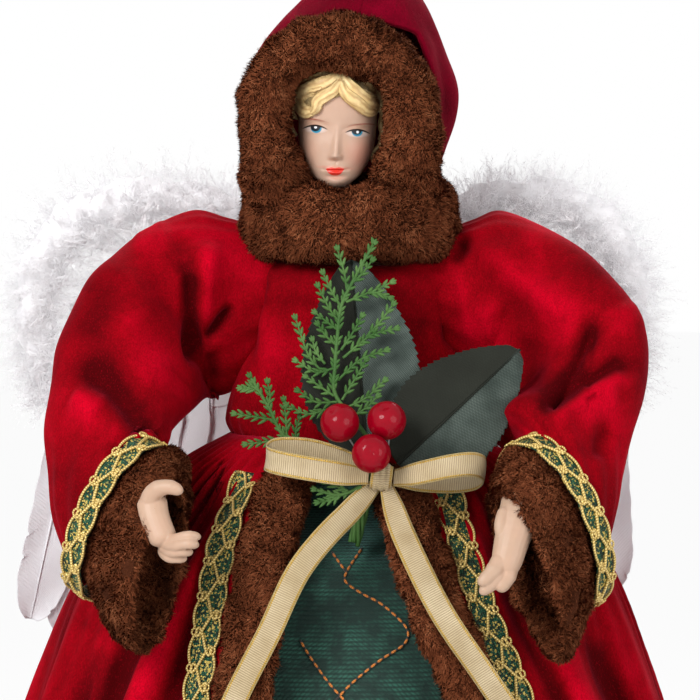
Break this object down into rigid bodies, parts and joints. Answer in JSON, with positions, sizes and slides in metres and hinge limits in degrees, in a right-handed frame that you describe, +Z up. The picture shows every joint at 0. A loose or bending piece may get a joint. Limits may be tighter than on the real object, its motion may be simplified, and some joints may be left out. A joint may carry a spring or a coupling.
{
  "type": "angel tree topper",
  "caption": "Angel doll tree topper with a hooded velvet coat, fur trim, underskirt over a card cone, feather wings and arms that pose forwards.",
  "frame": {"origin": "centre of the card cone's open rim, in the plane that the topper stands on", "axes": "+Z up along the cone's axis, -Y the way the angel faces, +X to the right of someone who faces the angel"},
  "size_m": [0.2905, 0.2064, 0.4058],
  "materials": {
    "card": "matt",
    "foam": "matt",
    "velvet": "crushed pile",
    "underskirt": "ribbed chenille",
    "fur": "long pile",
    "braid": "metallic cord",
    "ribbon": "woven, with metallic edges",
    "leaf": "twill",
    "feather": "matt",
    "down": "fluffy",
    "resin": "painted satin",
    "steel": "drawn wire",
    "sprig": "matt",
    "berry": "lacquered"
  },
  "bodies": {
    "angel": {"base_cone": "card", "skirt_left": "velvet", "skirt_right": "velvet", "skirt_back": "velvet", "underskirt": "underskirt", "left_fur_band": "fur", "left_coat_braid": "braid", "right_fur_band": "fur", "right_coat_braid": "braid", "torso_form": "foam", "bodice": "velvet", "shoulder_wire": "steel", "fur_collar": "fur", "hood": "velvet", "hood_fur": "fur", "head": "resin", "bow_left_loop": "ribbon", "bow_right_loop": "ribbon", "bow_knot": "ribbon", "left_ribbon_tail": "ribbon", "right_ribbon_tail": "ribbon", "stem_bundle": "sprig", "upright_leaf": "leaf", "side_leaf": "leaf", "berry_left": "berry", "berry_right": "berry", "berry_low": "berry", "main_sprig": "sprig", "left_sprig": "sprig", "lower_sprig": "sprig", "wing_block": "foam", "left_wing_board": "card", "left_wing_quills": "feather", "left_wing_down": "down", "right_wing_board": "card", "right_wing_quills": "feather", "right_wing_down": "down"},
    "left_arm": {"left_sleeve": "velvet", "left_cuff": "fur", "left_cuff_braid": "braid", "left_arm_wire": "steel", "left_hand": "resin"},
    "right_arm": {"right_sleeve": "velvet", "right_cuff": "fur", "right_cuff_braid": "braid", "right_arm_wire": "steel", "right_hand": "resin"}
  },
  "joints": [
    {"name": "left_shoulder", "type": "hinge", "parent": "angel", "child": "left_arm", "pos_m": [-0.036, 0.003, 0.306], "axis": [-1, 0, 0], "range_deg": [0, 35]},
    {"name": "right_shoulder", "type": "hinge", "parent": "angel", "child": "right_arm", "pos_m": [0.036, 0.003, 0.306], "axis": [-1, 0, 0], "range_deg": [0, 35]}
  ]
}
